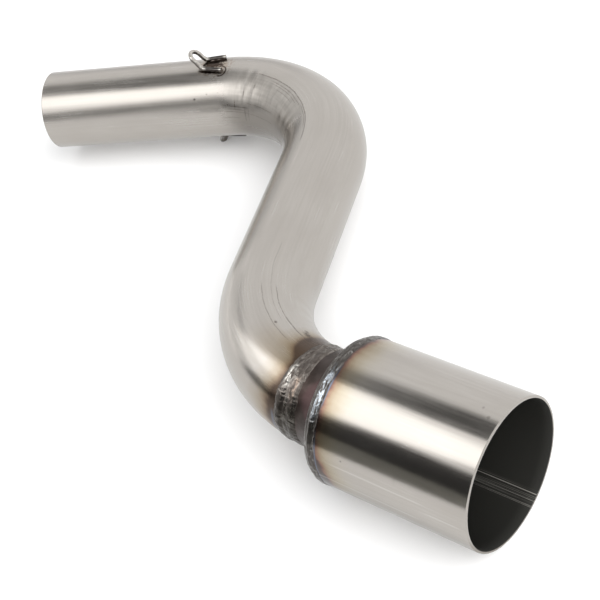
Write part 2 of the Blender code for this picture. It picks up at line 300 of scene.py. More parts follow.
def make_tube(materials):
    rounding_start = PIPE_LENGTH - RIM_ROUNDING
    outer = even_steps(TUBE_START, PIPE_LENGTH - RIM_ROUNDING * 2, TUBE_STEP) + [rounding_start]
    inner = even_steps(rounding_start, TUBE_START, INNER_STEP)
    bore = TUBE_RADIUS - TUBE_WALL
    rings = [(d, lambda a, d=d: TUBE_RADIUS + tube_skin(d, a)) for d in outer]
    rings.append((PIPE_LENGTH, steady(TUBE_RADIUS - RIM_ROUNDING)))
    inner_from = len(rings)
    rings.append((PIPE_LENGTH, steady(bore + RIM_ROUNDING)))
    rings += [(d, lambda a, d=d: bore + tube_skin(d, a)) for d in inner]
    mesh = swept_mesh("bent_tube", rings, TUBE_AROUND, inner_from)
    add_piece("bent_tube", mesh, materials, "link_tube")


# Socket: faint waves in its skin, fading out at the mouth
SOCKET_WAVE = 0.00005
SOCKET_WAVE_SCALE = 22.0
SOCKET_WAVE_SEED = 3.0
SOCKET_STEP = 0.0022
MOUTH_FADE = 0.004


def make_socket(materials):
    bore = SOCKET_RADIUS - SOCKET_WALL

    def skin(distance):
        wave = smooth_step(0.0, MOUTH_FADE, distance) * SOCKET_WAVE
        return lambda a: SOCKET_RADIUS + wave * wave_of(distance, a, SOCKET_WAVE_SCALE, SOCKET_WAVE_SEED)

    outer = [RIM_ROUNDING] + even_steps(RIM_ROUNDING * 2, SOCKET_LENGTH, SOCKET_STEP)
    inner = even_steps(SOCKET_LENGTH - INNER_STEP, RIM_ROUNDING, INNER_STEP)
    rings = [(d, skin(d)) for d in outer]
    rings.append((SOCKET_LENGTH, steady(bore)))
    inner_from = len(rings) - 1
    rings += [(d, steady(bore)) for d in inner]
    rings.append((0.0, steady(bore + RIM_ROUNDING)))
    rim_from = (len(rings) - 1) * SOCKET_AROUND
    rings.append((0.0, steady(SOCKET_RADIUS - RIM_ROUNDING)))
    mesh = swept_mesh("socket_tube", rings, SOCKET_AROUND, inner_from)
    for face in mesh.polygons:
        if face.index >= rim_from:
            face.material_index = 0
    add_piece("socket_tube", mesh, materials, "socket_sleeve")


# Reducer collar
COLLAR_STEP = 0.0006
COLLAR_INNER_STEP = 0.0012
FLARE_HOLLOW = 1.25


def collar_radius(distance):
    """Outer radius of the pressed reducer: lip, rounded shoulder, hollow flare and neck."""
    if distance <= SHOULDER_START:
        return COLLAR_LIP_RADIUS
    if distance >= NECK_START:
        return TUBE_RADIUS
    corner_end = SHOULDER_START + COLLAR_CORNER
    if distance < corner_end:
        drop = (distance - SHOULDER_START) / COLLAR_CORNER
        return COLLAR_LIP_RADIUS - COLLAR_CORNER * (1.0 - math.sqrt(max(0.0, 1.0 - drop * drop)))
    high = COLLAR_LIP_RADIUS - COLLAR_CORNER
    share = (distance - corner_end) / (FLARE_START - corner_end)
    if share < 1.0:
        return high + (FLARE_RADIUS - high) * share
    share = (distance - FLARE_START) / (NECK_START - FLARE_START)
    return TUBE_RADIUS + (FLARE_RADIUS - TUBE_RADIUS) * (1.0 - share) ** FLARE_HOLLOW


def make_collar(materials):
    outer = even_steps(COLLAR_START, NECK_END, COLLAR_STEP)
    inner = even_steps(NECK_END, COLLAR_START, COLLAR_INNER_STEP)
    rings = [(d, steady(collar_radius(d))) for d in outer]
    inner_from = len(rings)
    rings += [(d, steady(collar_radius(d) - COLLAR_WALL)) for d in inner]
    mesh = swept_mesh("pressed_reducer", rings, SOCKET_AROUND, inner_from)
    add_piece("pressed_reducer", mesh, materials, "reducer_collar")


# Weld beads, each pass as (middle, half width, crescents round the pipe, their bow, height, seed)
NECK_WELD_REACH = (0.1046, 0.1172)
NECK_PASSES = (
    (0.74, 0.21, 26, 0.55, 1.00, 1.0),
    (0.27, 0.22, 30, -0.45, 0.85, 4.0),
    (0.50, 0.26, 41, 0.20, 0.50, 7.0),
)
NECK_CROWN = 0.00100
NECK_GRAIN = 0.00009
SHOULDER_WELD_REACH = (0.0840, 0.0956)
SHOULDER_PASSES = (
    (0.29, 0.28, 50, 0.60, 1.00, 2.0),
    (0.70, 0.30, 44, -0.30, 0.60, 5.0),
)
SHOULDER_CROWN = 0.00060
SHOULDER_GRAIN = 0.00007
# What both beads share
WELD_SINK = 0.00010
BEAD_DEPTH = 0.0004
COVER_HEIGHT = 0.15
PUDDLE_RISE = 0.25
PUDDLE_SIZE = 0.8
PUDDLE_CHANGE = 0.8
PUDDLE_SCALE = 7.0
PUDDLE_SHIFT = Vector((5.0, 0.0, 0.0))
CRESCENT_SHARE = 0.28
EDGE_WANDER = ((0.22, 4.0), (0.16, 19.0))
SPACING_WANDER = ((0.9, 5.0), (0.3, 17.0))
GRAIN_AROUND = 9.0
GRAIN_ALONG = 1300.0
FINE_GRAIN = Vector((3.0, 3.0, 1.6))
FINE_GRAIN_SHARE = 0.5


def ripple(phase):
    """One puddle's edge: a quick rise and a slow fall."""
    share = phase % 1.0
    return smooth_step(0.0, PUDDLE_RISE, share) * (1.0 - share)


def wander(place, waves):
    """Sum of waves of noise, each as (height, scale)."""
    return sum(height * noise.noise(place * scale) for height, scale in waves)


def pass_height(along, angle, centre, half_width, count, bow, height, seed):
    """Height, from 0 to 1, of one weld pass with its overlapping crescents."""
    around = Vector((math.cos(angle), math.sin(angle), seed))
    off = (along - centre - wander(around, EDGE_WANDER) * half_width) / half_width
    if abs(off) >= 1.0:
        return 0.0
    size = PUDDLE_SIZE + PUDDLE_CHANGE * noise.noise(around * PUDDLE_SCALE + PUDDLE_SHIFT)
    crescent = ripple(angle * count / math.tau + wander(around, SPACING_WANDER) + bow * off * off)
    arch = 1.0 - off * off
    return height * arch * (1.0 - CRESCENT_SHARE + CRESCENT_SHARE * size * crescent)


def grain_height(angle, distance):
    """Coarse and fine grain of a bead's skin."""
    place = Vector((math.cos(angle) * GRAIN_AROUND, math.sin(angle) * GRAIN_AROUND, distance * GRAIN_ALONG))
    return noise.noise(place) + FINE_GRAIN_SHARE * noise.noise(place * FINE_GRAIN)


def bead_mesh(name, reach, across, bed, crown, passes, grain):
    """A closed weld bead lying on its bed, feathered into it at both edges."""
    start, end = reach

    def top(distance, along):
        def radius_at(angle):
            height = max(pass_height(along, angle, *one) for one in passes)
            cover = smooth_step(0.0, COVER_HEIGHT, height)
            raised = cover * (WELD_SINK + grain * grain_height(angle, distance))
            return bed(distance) - WELD_SINK + raised + crown * height
        return radius_at

    rings = []
    for step in range(across + 1):
        along = step / across
        distance = start + (end - start) * along
        rings.append((distance, top(distance, along)))
    for share in (1.0, 0.5, 0.0):
        distance = start + (end - start) * share
        rings.append((distance, steady(bed(distance) - BEAD_DEPTH)))
    return swept_mesh(name, rings, WELD_AROUND)


def make_neck_weld(material):
    mesh = bead_mesh("neck_weld_bead", NECK_WELD_REACH, WELD_ACROSS, collar_radius,
                     NECK_CROWN, NECK_PASSES, NECK_GRAIN)
    add_piece("neck_weld_bead", mesh, [material], "neck_weld")


def shoulder_bed(distance):
    """Radius of what the shoulder's bead lies on: the socket, then the reducer."""
    if distance <= SOCKET_LENGTH:
        return SOCKET_RADIUS
    blend = smooth_step(SOCKET_LENGTH, SHOULDER_START, distance)
    return SOCKET_RADIUS + (collar_radius(distance) - SOCKET_RADIUS) * blend


def make_shoulder_weld(material):
    mesh = bead_mesh("shoulder_weld_bead", SHOULDER_WELD_REACH, SHOULDER_ACROSS, shoulder_bed,
                     SHOULDER_CROWN, SHOULDER_PASSES, SHOULDER_GRAIN)
    add_piece("shoulder_weld_bead", mesh, [material], "shoulder_weld")


# Spring hooks and their tack welds
WIRE_BEVEL = 10
CURVE_SAMPLES = 6
LOOP_STEPS = 10
LEG_RISE = 0.62
LEG_RISE_CURVE = 1.5
TACK_STEPS = 24
TACK_RADIUS = 0.0013
TACK_LENGTH = 0.0110
TACK_OVERHANG = 0.0004
TACK_LIFT = 0.0002
TACK_INSET = 0.75
TACK_TAPER = 0.35
TACK_END_SIZE = 0.25
TACK_RIPPLES = 6.0
TACK_RIPPLE_SHIFT = 0.3


def seat_height(y, lift):
    """Height above the tube's axis of something lying on the tube, a distance y off its crown."""
    return math.sqrt((TUBE_RADIUS + lift) ** 2 - y * y)


def leg_spacing(x):
    """Half the distance between the legs, which part towards their cut ends."""
    return HOOK_LEG_HALF_SPACING + HOOK_LEG_SPLAY * min(max(-x / HOOK_LEG_LENGTH, 0.0), 1.0)


def hook_side(side, height):
    """One leg from its cut end to where the loop begins, rising off the tube in a curve."""
    base = seat_height(HOOK_LEG_HALF_SPACING, WIRE_RADIUS)
    top = TUBE_RADIUS + height - WIRE_RADIUS
    slope = math.atan2(top - base, HOOK_REACH)
    loop_start = HOOK_REACH - WIRE_RADIUS - HOOK_LOOP_RADIUS * math.cos(slope)
    points = []
    for x in (-HOOK_LEG_LENGTH, -HOOK_LEG_LENGTH / 2, 0.0):
        y = leg_spacing(x)
        points.append(Vector((x, side * y, seat_height(y, WIRE_RADIUS))))
    for share in (0.33, 0.67, 1.0):
        y = HOOK_LEG_HALF_SPACING + (HOOK_LOOP_RADIUS - HOOK_LEG_HALF_SPACING) * share
        rise = (top - base) * LEG_RISE * share ** LEG_RISE_CURVE
        points.append(Vector((loop_start * share, side * y, base + rise)))
    return points


def hook_points(height):
    """The wire's path: the right leg, the loop and the left leg."""
    right = hook_side(-1.0, height)
    left = hook_side(1.0, height)
    loop_base = (right[-1] + left[-1]) / 2
    reach = Vector((HOOK_REACH - WIRE_RADIUS, 0.0, TUBE_RADIUS + height - WIRE_RADIUS)) - loop_base
    across = Vector((0.0, -HOOK_LOOP_RADIUS, 0.0))
    loop = []
    for step in range(1, LOOP_STEPS):
        turn = math.pi * step / LOOP_STEPS
        loop.append(loop_base + across * math.cos(turn) + reach * math.sin(turn))
    return right + loop + left[::-1]


def smooth_path(points):
    """A curve through all the points, with even parameter steps between them."""
    padded = [points[0] * 2 - points[1]] + points + [points[-1] * 2 - points[-2]]
    path = []
    for a, b, c, d in zip(padded, padded[1:], padded[2:], padded[3:]):
        for k in range(CURVE_SAMPLES):
            t = k / CURVE_SAMPLES
            path.append(0.5 * ((2 * b) + (c - a) * t + (2 * a - 5 * b + 4 * c - d) * t * t
                               + (3 * b - a - 3 * c + d) * t ** 3))
    path.append(points[-1])
    return path


def rod_mesh(name, path, radius, seat, scales=None):
    """A round bar along a path, put on its seat, with its ends capped.

    The attribute "run" keeps the coordinates that it has before it is put there.
    """
    curve = bpy.data.curves.new(name + "_curve", "CURVE")
    curve.dimensions = "3D"
    curve.twist_mode = "Z_UP"
    curve.bevel_depth = radius
    curve.bevel_resolution = WIRE_BEVEL
    curve.use_fill_caps = True
    spline = curve.splines.new("POLY")
    spline.points.add(len(path) - 1)
    for target, point, scale in zip(spline.points, path, scales or [1.0] * len(path)):
        target.co = (*point, 1.0)
        target.radius = scale
    draft = new_object(name + "_draft", curve)
    bpy.context.view_layer.update()
    graph = bpy.context.evaluated_depsgraph_get()
    mesh = bpy.data.meshes.new_from_object(draft.evaluated_get(graph))
    bpy.data.objects.remove(draft, do_unlink=True)
    bpy.data.curves.remove(curve)
    mesh.name = name
    welded = bmesh.new()
    welded.from_mesh(mesh)
    bmesh.ops.remove_doubles(welded, verts=welded.verts, dist=1e-6)
    run_layer = welded.verts.layers.float_vector.new("run")
    for vertex in welded.verts:
        vertex[run_layer] = vertex.co.copy()
        vertex.co = PIPE @ seat @ vertex.co
    bmesh.ops.recalc_face_normals(welded, faces=welded.faces)
    welded.to_mesh(mesh)
    welded.free()
    mesh.materials.clear()
    mesh.shade_smooth()
    mesh.set_sharp_from_angle(angle=math.radians(ROD_SHARP_ANGLE))
    return mesh


def hook_seat(from_bend, half_turn):
    """Where a hook's own frame lies on the pipe: +X along the run, +Z off the tube."""
    place, heading = centreline(SECOND_BEND_END + from_bend)
    return (Matrix.Translation(place) @ Matrix.Rotation(heading, 4, "Z")
            @ Matrix.Rotation(half_turn, 4, "X"))


def tack_path(side):
    """The line along a leg's inner side that a tack weld follows, and the weld's thickness along it."""
    points = []
    scales = []
    for step in range(TACK_STEPS + 1):
        share = step / TACK_STEPS
        x = -HOOK_LEG_LENGTH - TACK_OVERHANG + TACK_LENGTH * share
        y = leg_spacing(x) - WIRE_RADIUS * TACK_INSET
        points.append(Vector((x, side * y, seat_height(y, TACK_LIFT))))
        bulge = math.sin(math.pi * share) ** TACK_TAPER
        puddles = 0.85 + 0.30 * ripple(share * TACK_RIPPLES + side * TACK_RIPPLE_SHIFT)
        scales.append(TACK_END_SIZE + (1.0 - TACK_END_SIZE) * bulge * puddles)
    return points, scales


def make_hooks(wire_materials, tack_material):
    for label, from_bend, height, half_turn in HOOKS:
        seat = hook_seat(from_bend, half_turn)
        hook_name = f"{label}_wire_hook"
        mesh = rod_mesh(hook_name, smooth_path(hook_points(height)), WIRE_RADIUS, seat)
        add_piece(hook_name, mesh, [wire_materials[label]], f"{label}_spring_hook")
        for side_label, side in (("left", 1.0), ("right", -1.0)):
            tack_name = f"{label}_tack_{side_label}"
            points, scales = tack_path(side)
            mesh = rod_mesh(tack_name, points, TACK_RADIUS, seat, scales)
            add_piece(tack_name, mesh, [tack_material], f"{label}_hook_weld_{side_label}")


# Nodes
def add_node(tree, kind, values=None, **settings):
    """A new shader node, its inputs set to plain values or linked from sockets."""
    made = tree.nodes.new("ShaderNode" + kind)
    for name, value in settings.items():
        setattr(made, name, value)
    for key, value in (values or {}).items():
        if isinstance(value, bpy.types.NodeSocket):
            tree.links.new(value, made.inputs[key])
        else:
            made.inputs[key].default_value = value
    return made


def math_node(tree, operation, first, second=0.0):
    return add_node(tree, "Math", {0: first, 1: second}, operation=operation).outputs[0]


def multiply(tree, first, second):
    return math_node(tree, "MULTIPLY", first, second)


def vector_math(tree, operation, first, second):
    """A vector node's outputs, of which each operation fills one."""
    return add_node(tree, "VectorMath", {0: first, 1: second}, operation=operation).outputs


def map_range(tree, value, low, high, to_low=0.0, to_high=1.0, smooth=False):
    kind = "SMOOTHSTEP" if smooth else "LINEAR"
    values = {"Value": value, "From Min": low, "From Max": high, "To Min": to_low, "To Max": to_high}
    return add_node(tree, "MapRange", values, interpolation_type=kind).outputs["Result"]


def mix_colour(tree, factor, first, second, blend="MIX"):
    values = {0: factor, 6: first, 7: second}
    return add_node(tree, "Mix", values, data_type="RGBA", blend_type=blend).outputs[2]


def colour_ramp(tree, factor, stops):
    made = add_node(tree, "ValToRGB", {"Fac": factor})
    ramp = made.color_ramp
    while len(ramp.elements) < len(stops):
        ramp.elements.new(1.0)
    for element, (position, colour) in zip(ramp.elements, stops):
        element.position = position
        element.color = (*colour, 1.0)
    return made.outputs["Color"]


def new_material(name):
    """A metal's material, its tree and its shader."""
    material = bpy.data.materials.new(name)
    material.use_nodes = True
    tree = material.node_tree
    shader = tree.nodes["Principled BSDF"]
    shader.inputs["Metallic"].default_value = 1.0
    return material, tree, shader


def plug(tree, socket, shader, name):
    tree.links.new(socket, shader.inputs[name])


def add_bump(tree, shader, height, strength, distance):
    bump = add_node(tree, "Bump", {"Strength": strength, "Distance": distance, "Height": height})
    plug(tree, bump.outputs["Normal"], shader, "Normal")


# Places on the skin
STREAK_CORE = 0.3
STREAK_FACING = (0.1, 0.3)
STREAK_FADE = 0.004


def run_vector(tree):
    """The straightened pipe's coordinates: two across it, and the distance from the mouth."""
    return add_node(tree, "Attribute", attribute_name="run").outputs["Vector"]


def run_part(tree, axis):
    """One of those coordinates, called X, Y or Z."""
    return add_node(tree, "SeparateXYZ", {0: run_vector(tree)}).outputs[axis]


def scaled_run(tree, scale):
    return vector_math(tree, "MULTIPLY", run_vector(tree), scale)["Vector"]


def run_noise(tree, stretch, scale, detail=3.0, roughness=0.55, distortion=0.0):
    """Noise on the skin: the less an axis's coordinate is stretched, the longer the noise runs along it."""
    values = {"Vector": scaled_run(tree, stretch), "Scale": scale, "Detail": detail,
              "Roughness": roughness, "Distortion": distortion}
    return add_node(tree, "TexNoise", values).outputs["Fac"]


def facing(tree, degrees):
    """How far a place lies towards an angle round the pipe, in tube radii."""
    turn = math.radians(degrees)
    towards = (math.sin(turn) / TUBE_RADIUS, math.cos(turn) / TUBE_RADIUS, 0.0)
    return vector_math(tree, "DOT_PRODUCT", run_vector(tree), towards)["Value"]


def turned_to(tree, degrees, low, high, most=1.0):
    """0 where the skin faces away from an angle, rising smoothly to the most between two facings."""
    return map_range(tree, facing(tree, degrees), low, high, 0.0, most, smooth=True)


def either_side(tree, sides):
    """The larger of two such values."""
    first, second = (turned_to(tree, *one) for one in sides)
    return math_node(tree, "MAXIMUM", first, second)


def band(tree, value, low, high, feather):
    """1 between two values, falling smoothly to 0 over the feather at both ends."""
    rise = map_range(tree, value, low - feather, low + feather, smooth=True)
    fall = map_range(tree, value, high - feather, high + feather, 1.0, 0.0, smooth=True)
    return multiply(tree, rise, fall)


def run_band(tree, start, end, feather):
    """Such a band between two distances from the mouth."""
    return band(tree, run_part(tree, "Z"), start, end, feather)


def spot(tree, distance, degrees, along, around, radius=TUBE_RADIUS):
    """Distance from a place on the skin, in units of a spot's half sizes in metres."""
    turn = math.radians(degrees)
    centre = Vector((radius * math.sin(turn), radius * math.cos(turn), distance))
    scaled = scaled_run(tree, (1.0 / around, 1.0 / around, 1.0 / along))
    middle = (centre.x / around, centre.y / around, centre.z / along)
    return vector_math(tree, "DISTANCE", scaled, middle)["Value"]


def streak(tree, degrees, half_width, start, end, wobble):
    """A thin mark along the pipe at an angle, between two distances from the mouth."""
    offset = math_node(tree, "ADD", facing(tree, degrees + 90.0), wobble)
    away = math_node(tree, "ABSOLUTE", offset)
    line = map_range(tree, away, half_width * STREAK_CORE, half_width, 1.0, 0.0)
    line = multiply(tree, line, map_range(tree, facing(tree, degrees), *STREAK_FACING))
    return multiply(tree, line, run_band(tree, start, end, STREAK_FADE))


# Heat tints, as reflectance multipliers from the weld outwards. A side here and below is
# (angle, low and high facing, most), and a band (start, end, feather).
TUBE_TINT = (
    (0.00, (0.20, 0.155, 0.13)),
    (0.05, (0.30, 0.235, 0.19)),
    (0.13, (0.52, 0.43, 0.34)),
    (0.23, (0.71, 0.64, 0.54)),
    (0.33, (0.81, 0.76, 0.68)),
    (0.45, (0.89, 0.86, 0.81)),
    (0.75, (1.00, 1.00, 1.00)),
)
TUBE_TINT_START = NECK_WELD_REACH[1] - 0.0008
TUBE_TINT_REACH = (TUBE_TINT_START, TUBE_TINT_START + 0.020)
TUBE_LONGER_SIDES = (
    (-32.0, 0.72, 0.97, 0.0085),
    (72.0, 0.78, 0.97, 0.0030),
)
TUBE_BLUE_SIDE = (96.0, 0.88, 0.97, 0.8)
TUBE_BLUE_BAND = (TUBE_TINT_START + 0.0006, TUBE_TINT_START + 0.0018, 0.0004)
SOCKET_TINT = (
    (0.00, (0.20, 0.17, 0.17)),
    (0.03, (0.32, 0.21, 0.20)),
    (0.08, (0.53, 0.35, 0.28)),
    (0.16, (0.67, 0.56, 0.43)),
    (0.28, (0.81, 0.74, 0.61)),
    (0.43, (0.90, 0.86, 0.76)),
    (0.57, (0.95, 0.93, 0.87)),
    (0.70, (0.98, 0.97, 0.94)),
    (1.00, (1.00, 1.00, 1.00)),
)
SOCKET_TINT_START = SHOULDER_WELD_REACH[0] + 0.0003
SOCKET_TINT_REACH = (SOCKET_TINT_START, SOCKET_TINT_START - 0.022)
SOCKET_LONGER_SIDE = (112.0, 1.20, 1.49, -0.0045)
SOCKET_BLUE_SIDES = (
    (22.0, 1.42, 1.48),
    (95.0, 1.10, 1.30),
)
SOCKET_BLUE_BAND = (SOCKET_TINT_START - 0.0008, SOCKET_TINT_START, 0.0003)
TINT_SHIFT = 0.0013

# Colours and finish of the steel
BLUE_LINE_COLOUR = (0.145, 0.162, 0.205, 1.0)
STEEL_COLOUR = (0.522, 0.494, 0.459, 1.0)
STEEL_SHADE = (0.470, 0.440, 0.405, 1.0)
# Straw heat tint, also darker as a painted reflection
STRAW_AND_DIM_REFLECTION_COLOUR = (0.85, 0.79, 0.70, 1.0)
# Scuffed grey, also darker as painted shade on the second bend's inner side
SCUFF_AND_PAINTED_SHADE = (0.54, 0.53, 0.52, 1.0)
SCRATCH_COLOUR = (0.30, 0.28, 0.255, 1.0)
# Painted shade on the socket's underside, towards the floor
UNDERSIDE_PAINTED_SHADE = (0.60, 0.58, 0.55, 1.0)
MARK_COLOUR = (0.17, 0.15, 0.13, 1.0)
# Burnt marks; round the hooks' legs this also serves as painted shadow
BURNT_AND_PAINTED_SHADOW_COLOUR = (0.055, 0.036, 0.026, 1.0)
SCORCH_COLOUR = (0.34, 0.26, 0.19, 1.0)
GLINT_COLOUR = (0.78, 0.76, 0.72, 1.0)
TUBE_ROUGHNESS = (0.20, 0.29)
SOCKET_ROUGHNESS = (0.15, 0.21)


def steel_base(tree, tint_stops, tint_reach, longer):
    """Satin steel's colour: streaks along the run, faint stains, and the heat tint by a weld."""
    streaks = run_noise(tree, (1.0, 1.0, 0.03), 900.0, detail=4.0, roughness=0.6)
    stains = run_noise(tree, (1.0, 1.0, 0.5), 55.0, roughness=0.5)
    both = multiply(tree, streaks, stains)
    colour = mix_colour(tree, map_range(tree, both, 0.12, 0.42), STEEL_SHADE, STEEL_COLOUR)
    ragged = run_noise(tree, (1.0, 1.0, 0.6), 150.0, roughness=0.6)
    shift = map_range(tree, ragged, 0.25, 0.75, -TINT_SHIFT, TINT_SHIFT)
    place = math_node(tree, "ADD", run_part(tree, "Z"), shift)
    share = map_range(tree, math_node(tree, "SUBTRACT", place, longer), *tint_reach)
    tint = colour_ramp(tree, share, tint_stops)
    return mix_colour(tree, 1.0, colour, tint, "MULTIPLY"), streaks, stains


def steel_roughness(tree, streaks, stains, low, high):
    smudged = math_node(tree, "ADD", multiply(tree, streaks, 0.6), multiply(tree, stains, 0.4))
    return map_range(tree, smudged, 0.3, 0.7, low, high)


# Marks on the tube, as (angle, half width in tube radii, start, end, strength)
TUBE_SCRATCHES = (
    (-8.0, 0.014, 0.131, 0.180, 0.65),
    (-26.0, 0.020, 0.126, 0.150, 0.90),
    (-25.5, 0.014, 0.146, 0.178, 0.75),
    (-19.0, 0.010, 0.150, 0.215, 0.40),
    (16.0, 0.018, 0.305, 0.402, 0.95),
    (18.5, 0.014, 0.318, 0.345, 0.80),
    (20.5, 0.014, 0.343, 0.385, 0.90),
    (24.0, 0.012, 0.350, 0.384, 0.85),
    (29.0, 0.012, 0.356, 0.378, 0.70),
    (33.0, 0.010, 0.300, 0.334, 0.60),
    (62.0, 0.014, 0.372, 0.405, 0.80),
    (77.0, 0.014, 0.370, 0.428, 0.70),
    (69.0, 0.014, 0.405, 0.424, 0.80),
    (73.0, 0.016, 0.408, 0.425, 0.85),
    (86.0, 0.012, 0.414, 0.430, 0.80),
)
# Round marks on the tube, as (distance, angle, half length, half width, strength)
TUBE_STAINS = (
    (0.1475, -11.0, 0.0016, 0.0011, 0.80),
    (0.1290, -33.0, 0.0060, 0.0022, 0.85),
    (0.1330, -37.0, 0.0030, 0.0014, 0.70),
    (0.1240, -28.0, 0.0030, 0.0030, 0.65),
    (0.3370, 56.0, 0.0020, 0.0012, 0.60),
    (0.3470, 56.0, 0.0016, 0.0012, 0.60),
    (0.3580, 56.0, 0.0016, 0.0012, 0.60),
    (0.3997, 36.0, 0.0009, 0.0024, 0.85),
    (0.4026, 78.0, 0.0006, 0.0060, 0.80),
    (0.4064, 80.0, 0.0007, 0.0060, 0.85),
    (0.4087, 49.0, 0.0008, 0.0035, 0.85),
    (0.4174, 65.0, 0.0007, 0.0040, 0.80),
    (0.4333, 49.0, 0.0006, 0.0006, 0.35),
    (0.4411, 50.0, 0.0006, 0.0007, 0.40),
    (0.4496, 56.0, 0.0010, 0.0009, 0.90),
)
SCRATCH_WOBBLE = 0.02
# Straw heat tint past the weld, also darker there as a painted reflection; the second bend's inner side is
# scuffed grey and darker still as painted shade, and sanded nearer its crown
STRAW_AND_DIM_REFLECTION_SIDE = (6.0, 0.93, 0.995)
STRAW_AND_DIM_REFLECTION_BAND = (0.110, 0.143, 0.014)
SCUFFED_AND_SHADED_SIDE = (100.0, 0.70, 0.94)
SCUFFED_AND_SHADED_BAND = (0.338, 0.424, 0.018)
SANDED_SIDE = (58.0, 0.70, 0.80)
SANDED_BAND = (0.338, 0.424, 0.014)
SANDED_ROUGHNESS = (0.05, 0.20)
SANDING_STRENGTH = 0.65
# Scorched and burnt steel round a hook's legs, the burnt spots also painted shadow between and beside the
# legs;
# each spot as (distance before the hook's seat, angle off it, half length, half width)
SCORCHED_SPOT = (0.007, 0.0, 0.0125, 0.0120)
BURNT_AND_SHADOWED_SPOTS = (
    (0.0055, -1.0, 0.0068, 0.0042),
    (0.005, 13.5, 0.0085, 0.0022),
)
SCORCH_STRENGTH = 0.55
BURNT_RAGGED = 0.35
# The thin burnt ring by the upper hook
RING_PLACE = (0.4325, 14.3)
RING_RADIUS = 0.0040
RING_OPENING = (0.4335, 0.4350)
RING_STRENGTH = 0.9


def burnt_and_shadowed_by_hook(tree, seat, turn):
    """Scorched steel, and burnt steel with painted shadow, round one hook's legs: two factors."""
    grain = run_noise(tree, (1.0, 1.0, 1.0), 650.0)
    ragged = map_range(tree, grain, 0.3, 0.7, -BURNT_RAGGED, BURNT_RAGGED)

    def ragged_spot(before, degrees, along, around):
        away = spot(tree, seat - before, turn + degrees, along, around)
        return math_node(tree, "ADD", away, ragged)

    haze = ragged_spot(*SCORCHED_SPOT)
    # Burnt spots, partly painted shadow between the legs and beside the near leg
    core, side = (ragged_spot(*one) for one in BURNT_AND_SHADOWED_SPOTS)
    burnt = math_node(tree, "MINIMUM", core, side)
    return (map_range(tree, haze, 0.45, 1.1, 1.0, 0.0, smooth=True),
            map_range(tree, burnt, 0.70, 1.05, 1.0, 0.0, smooth=True))


def ring_mark(tree):
    """The thin burnt ring round the end of the upper hook's near leg, open on the loop's side."""
    away = spot(tree, *RING_PLACE, RING_RADIUS, RING_RADIUS)
    off_ring = math_node(tree, "ABSOLUTE", math_node(tree, "SUBTRACT", away, 1.0))
    line = map_range(tree, off_ring, 0.05, 0.20, 1.0, 0.0)
    return multiply(tree, line, map_range(tree, run_part(tree, "Z"), *RING_OPENING, 1.0, 0.0))


def marked_tube(tree, colour):
    """The tube's colour with its scratches and round marks, both broken up by grit."""
    bend = run_noise(tree, (0.3, 0.3, 1.0), 90.0, detail=2.0)
    wobble = map_range(tree, bend, 0.0, 1.0, -SCRATCH_WOBBLE, SCRATCH_WOBBLE)
    gritty = map_range(tree, run_noise(tree, (1.0, 1.0, 1.0), 1400.0, roughness=0.7), 0.34, 0.54)
    for degrees, half_width, start, end, strength in TUBE_SCRATCHES:
        line = multiply(tree, streak(tree, degrees, half_width, start, end, wobble), gritty)
        colour = mix_colour(tree, multiply(tree, line, strength), colour, MARK_COLOUR)
    for distance, degrees, along, around, strength in TUBE_STAINS:
        away = spot(tree, distance, degrees, along, around)
        near = map_range(tree, away, 0.3, 1.0, strength, 0.0, smooth=True)
        colour = mix_colour(tree, multiply(tree, near, gritty), colour, BURNT_AND_PAINTED_SHADOW_COLOUR)
    return colour


